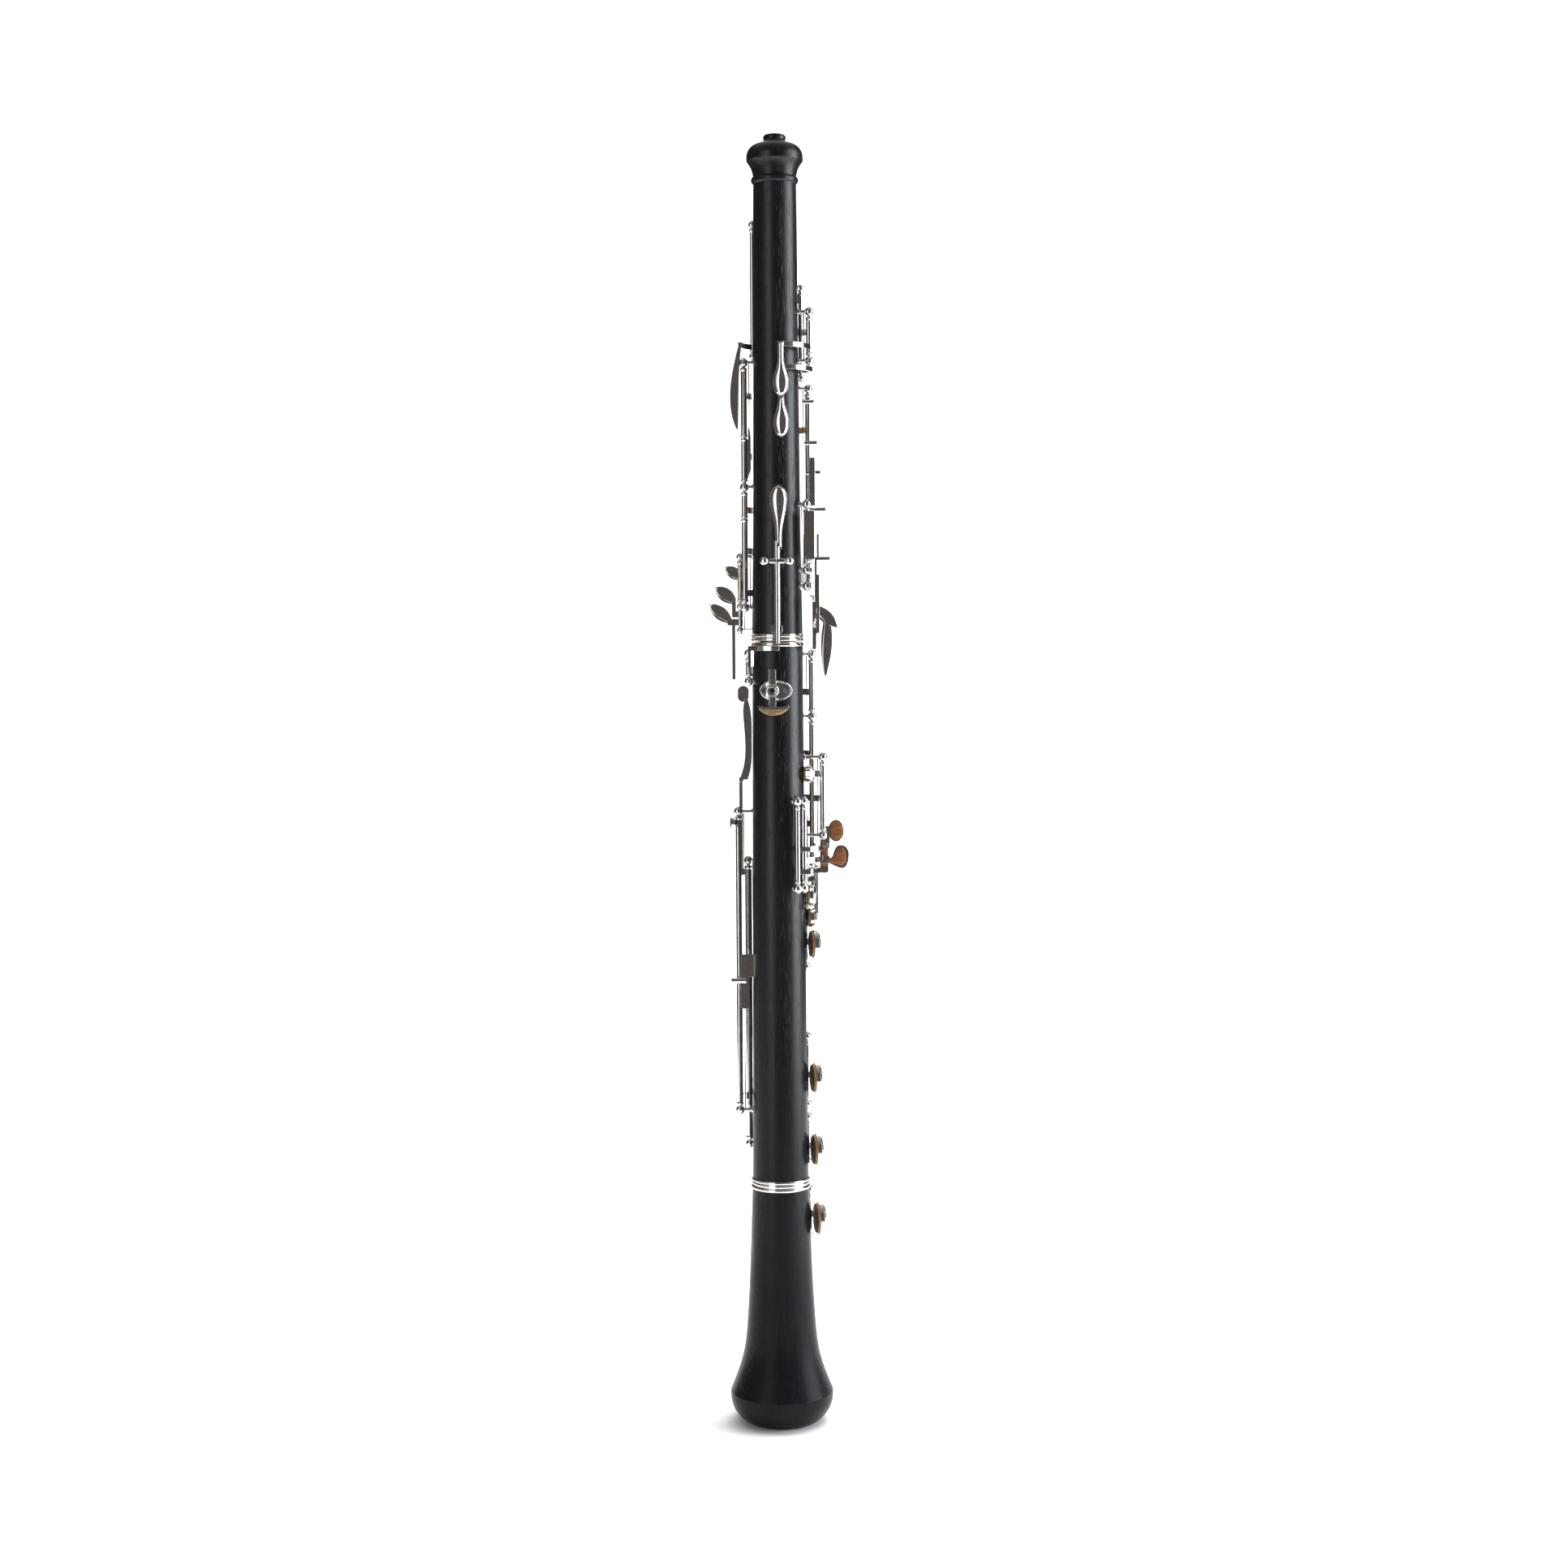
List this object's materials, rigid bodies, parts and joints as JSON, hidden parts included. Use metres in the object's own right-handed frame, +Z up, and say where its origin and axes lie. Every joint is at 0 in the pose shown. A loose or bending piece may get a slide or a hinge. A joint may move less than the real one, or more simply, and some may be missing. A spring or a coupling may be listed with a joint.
{
  "type": "oboe",
  "caption": "Upright oboe without its reed: tapered black wooden joints and flared bell with silver-plated keys, finger plates, octave keys and long side rods.",
  "frame": {"origin": "centre of the bell's mouth, on the plane the instrument stands on", "axes": "+Z up the bore towards the reed; the thumb rest faces -Y and the finger plates face +Y; +X is the player's right"},
  "size_m": [0.0647, 0.0484, 0.6005],
  "materials": {
    "grenadilla": "oiled satin black",
    "silver_plate": "polished silver plate",
    "steel": "ground",
    "vent_metal": "turned",
    "pad_skin": "smooth skin over felt",
    "cork": "matte cork"
  },
  "bodies": {
    "oboe_body": {"upper_joint": "grenadilla", "lower_joint": "grenadilla", "bell": "grenadilla", "upper_tenon_cork": "cork", "lower_tenon_cork": "cork", "upper_joint_ring": "silver_plate", "lower_joint_ring": "silver_plate", "bell_ring": "silver_plate", "octave_vents": "vent_metal", "upper_posts": "silver_plate", "lower_posts": "silver_plate", "hinge_rods": "steel", "thumb_rest_plate": "silver_plate", "thumb_rest_screws": "steel"},
    "half_hole_key_body": {"half_hole_key": "silver_plate", "half_hole_pad": "pad_skin"},
    "a_key_body": {"a_key": "silver_plate", "a_pad": "pad_skin"},
    "g_key_body": {"g_key": "silver_plate", "g_pad": "pad_skin"},
    "c_vent_key_body": {"c_vent_key": "silver_plate", "c_vent_pad": "pad_skin"},
    "f_sharp_key_body": {"f_sharp_key": "silver_plate", "f_sharp_pad": "pad_skin"},
    "e_key_body": {"e_key": "silver_plate", "e_pad": "pad_skin"},
    "d_key_body": {"d_key": "silver_plate", "d_pad": "pad_skin"},
    "c_key_body": {"c_key": "silver_plate", "c_pad": "pad_skin"},
    "low_b_key_body": {"low_b_key": "silver_plate", "low_b_pad": "pad_skin"},
    "low_b_flat_key_body": {"low_b_flat_key": "silver_plate", "low_b_flat_pad": "pad_skin"},
    "bell_key_body": {"bell_key": "silver_plate", "bell_pad": "pad_skin"},
    "second_octave_key_body": {"second_octave_key": "silver_plate", "second_octave_pad": "pad_skin"},
    "third_octave_key_body": {"third_octave_key": "silver_plate", "third_octave_pad": "pad_skin"},
    "first_octave_key_body": {"first_octave_key": "silver_plate", "first_octave_pad": "pad_skin"},
    "side_trill_key_body": {"side_trill_key": "silver_plate", "side_trill_pad": "pad_skin"},
    "g_sharp_key_body": {"g_sharp_key": "silver_plate", "g_sharp_pad": "pad_skin"},
    "f_key_body": {"f_key": "silver_plate", "f_pad": "pad_skin"},
    "e_flat_key_body": {"e_flat_key": "silver_plate", "e_flat_pad": "pad_skin"},
    "c_sharp_key_body": {"c_sharp_key": "silver_plate", "c_sharp_pad": "pad_skin"},
    "link_lever_body": {"link_lever": "silver_plate"},
    "low_b_flat_touch_body": {"low_b_flat_touch": "silver_plate"},
    "low_b_touch_body": {"low_b_touch": "silver_plate"},
    "bridge_key_body": {"bridge_key": "silver_plate"},
    "low_b_lever_body": {"low_b_lever": "silver_plate"},
    "low_b_flat_lever_body": {"low_b_flat_lever": "silver_plate"},
    "thumb_plate_lever_body": {"thumb_plate_lever": "silver_plate"},
    "thumb_rest_bar_body": {"thumb_rest_bar": "silver_plate"}
  },
  "joints": [
    {"name": "half_hole_key_hinge", "type": "hinge", "parent": "oboe_body", "child": "half_hole_key_body", "pos_m": [-0.01489, 0.00052, 0.478], "axis": [0, 0, -1], "range_deg": [0, 6], "stiffness_Nm_per_rad": 0.02, "springref_deg": -28.65},
    {"name": "a_key_hinge", "type": "hinge", "parent": "oboe_body", "child": "a_key_body", "pos_m": [-0.01489, 0.00052, 0.452], "axis": [0, 0, -1], "range_deg": [0, 6], "stiffness_Nm_per_rad": 0.02, "springref_deg": -28.65},
    {"name": "g_key_hinge", "type": "hinge", "parent": "oboe_body", "child": "g_key_body", "pos_m": [-0.01489, 0.00052, 0.431], "axis": [0, 0, -1], "range_deg": [0, 6], "stiffness_Nm_per_rad": 0.02, "springref_deg": -28.65},
    {"name": "c_vent_key_hinge", "type": "hinge", "parent": "oboe_body", "child": "c_vent_key_body", "pos_m": [-0.01489, 0.00052, 0.405], "axis": [0, 0, -1], "range_deg": [0, 6]},
    {"name": "f_sharp_key_hinge", "type": "hinge", "parent": "oboe_body", "child": "f_sharp_key_body", "pos_m": [0.01591, 0.00397, 0.347], "axis": [0, 0, 1], "range_deg": [0, 6], "stiffness_Nm_per_rad": 0.02, "springref_deg": -28.65},
    {"name": "e_key_hinge", "type": "hinge", "parent": "oboe_body", "child": "e_key_body", "pos_m": [0.01591, 0.00397, 0.317], "axis": [0, 0, 1], "range_deg": [0, 6], "stiffness_Nm_per_rad": 0.02, "springref_deg": -28.65},
    {"name": "d_key_hinge", "type": "hinge", "parent": "oboe_body", "child": "d_key_body", "pos_m": [0.01591, 0.00397, 0.285], "axis": [0, 0, 1], "range_deg": [0, 6], "stiffness_Nm_per_rad": 0.02, "springref_deg": -28.65},
    {"name": "c_key_hinge", "type": "hinge", "parent": "oboe_body", "child": "c_key_body", "pos_m": [0.01273, 0.01171, 0.239], "axis": [0, 0, -1], "range_deg": [0, 7], "stiffness_Nm_per_rad": 0.02, "springref_deg": -28.65},
    {"name": "low_b_key_hinge", "type": "hinge", "parent": "oboe_body", "child": "low_b_key_body", "pos_m": [0.01288, 0.01184, 0.164], "axis": [0, 0, -1], "range_deg": [0, 7]},
    {"name": "low_b_flat_key_hinge", "type": "hinge", "parent": "oboe_body", "child": "low_b_flat_key_body", "pos_m": [0.0131, 0.01205, 0.131], "axis": [0, 0, -1], "range_deg": [0, 7]},
    {"name": "bell_key_hinge", "type": "hinge", "parent": "oboe_body", "child": "bell_key_body", "pos_m": [0.01354, 0.01246, 0.0955], "axis": [0, 0, -1], "range_deg": [0, 7]},
    {"name": "second_octave_key_hinge", "type": "hinge", "parent": "oboe_body", "child": "second_octave_key_body", "pos_m": [-0.01069, 0.00668, 0.53], "axis": [0, 0, 1], "range_deg": [0, 10], "stiffness_Nm_per_rad": 0.02, "springref_deg": -28.65},
    {"name": "third_octave_key_hinge", "type": "hinge", "parent": "oboe_body", "child": "third_octave_key_body", "pos_m": [0.01546, 0.00108, 0.508], "axis": [0, 0, -1], "range_deg": [0, 5], "stiffness_Nm_per_rad": 0.02, "springref_deg": -28.65},
    {"name": "first_octave_key_hinge", "type": "hinge", "parent": "oboe_body", "child": "first_octave_key_body", "pos_m": [0.01165, 0.00424, 0.51], "axis": [0, 0, -1], "range_deg": [0, 6], "stiffness_Nm_per_rad": 0.02, "springref_deg": -28.65},
    {"name": "side_trill_key_hinge", "type": "hinge", "parent": "oboe_body", "child": "side_trill_key_body", "pos_m": [0.01487, 0.00399, 0.44], "axis": [0, 0, -1], "range_deg": [0, 10], "stiffness_Nm_per_rad": 0.02, "springref_deg": -28.65},
    {"name": "g_sharp_key_hinge", "type": "hinge", "parent": "oboe_body", "child": "g_sharp_key_body", "pos_m": [-0.01731, 0.00562, 0.395], "axis": [0, 0, 1], "range_deg": [0, 8], "stiffness_Nm_per_rad": 0.02, "springref_deg": -28.65},
    {"name": "f_key_hinge", "type": "hinge", "parent": "oboe_body", "child": "f_key_body", "pos_m": [0.02079, 0.00073, 0.295], "axis": [0, 0, 1], "range_deg": [0, 10], "stiffness_Nm_per_rad": 0.02, "springref_deg": -28.65},
    {"name": "e_flat_key_hinge", "type": "hinge", "parent": "oboe_body", "child": "e_flat_key_body", "pos_m": [0.01181, -0.00957, 0.273], "axis": [0, 0, -1], "range_deg": [0, 8], "stiffness_Nm_per_rad": 0.02, "springref_deg": -28.65},
    {"name": "c_sharp_key_hinge", "type": "hinge", "parent": "oboe_body", "child": "c_sharp_key_body", "pos_m": [0.00872, -0.01245, 0.273], "axis": [0, 0, -1], "range_deg": [0, 7], "stiffness_Nm_per_rad": 0.02, "springref_deg": -28.65},
    {"name": "link_lever_hinge", "type": "hinge", "parent": "oboe_body", "child": "link_lever_body", "pos_m": [0.01391, -0.00562, 0.416], "axis": [0, 0, -1], "range_deg": [0, 4]},
    {"name": "low_b_flat_touch_hinge", "type": "hinge", "parent": "oboe_body", "child": "low_b_flat_touch_body", "pos_m": [-0.01731, 0.00562, 0.38], "axis": [0, 0, 1], "range_deg": [0, 8], "stiffness_Nm_per_rad": 0.02, "springref_deg": -28.65},
    {"name": "low_b_touch_hinge", "type": "hinge", "parent": "oboe_body", "child": "low_b_touch_body", "pos_m": [-0.01731, 0.00562, 0.377], "axis": [0, 0, 1], "range_deg": [0, 8], "stiffness_Nm_per_rad": 0.02, "springref_deg": -28.65},
    {"name": "bridge_key_hinge", "type": "hinge", "parent": "oboe_body", "child": "bridge_key_body", "pos_m": [-0.01334, -0.00486, 0.356], "axis": [0, 0, 1], "range_deg": [0, 4]},
    {"name": "low_b_lever_hinge", "type": "hinge", "parent": "oboe_body", "child": "low_b_lever_body", "pos_m": [-0.01439, 0.00765, 0.197], "axis": [0, 0, 1], "range_deg": [0, 8]},
    {"name": "low_b_flat_lever_hinge", "type": "hinge", "parent": "oboe_body", "child": "low_b_flat_lever_body", "pos_m": [-0.01879, 0.00066, 0.218], "axis": [0, 0, 1], "range_deg": [0, 8]},
    {"name": "thumb_plate_lever_rock", "type": "hinge", "parent": "oboe_body", "child": "thumb_plate_lever_body", "pos_m": [0, -0.0152, 0.4046], "axis": [-1, 0, 0], "range_deg": [0, 4], "stiffness_Nm_per_rad": 0.02, "springref_deg": -28.65},
    {"name": "thumb_rest_slide", "type": "slide", "parent": "oboe_body", "child": "thumb_rest_bar_body", "axis": [0, 0, 1], "range_m": [-0.006, 0.004]}
  ],
  "couplings": [
    {"joint": "low_b_lever_hinge", "follows": "low_b_touch_hinge", "ratio": 1},
    {"joint": "low_b_key_hinge", "follows": "low_b_touch_hinge", "ratio": 0.875},
    {"joint": "low_b_flat_lever_hinge", "follows": "low_b_flat_touch_hinge", "ratio": 1},
    {"joint": "low_b_flat_key_hinge", "follows": "low_b_flat_touch_hinge", "ratio": 0.875},
    {"joint": "bell_key_hinge", "follows": "low_b_flat_touch_hinge", "ratio": 0.875},
    {"joint": "bridge_key_hinge", "follows": "thumb_plate_lever_rock", "ratio": 1},
    {"joint": "c_vent_key_hinge", "follows": "g_key_hinge", "ratio": 1},
    {"joint": "link_lever_hinge", "follows": "f_sharp_key_hinge", "ratio": 0.6667}
  ]
}
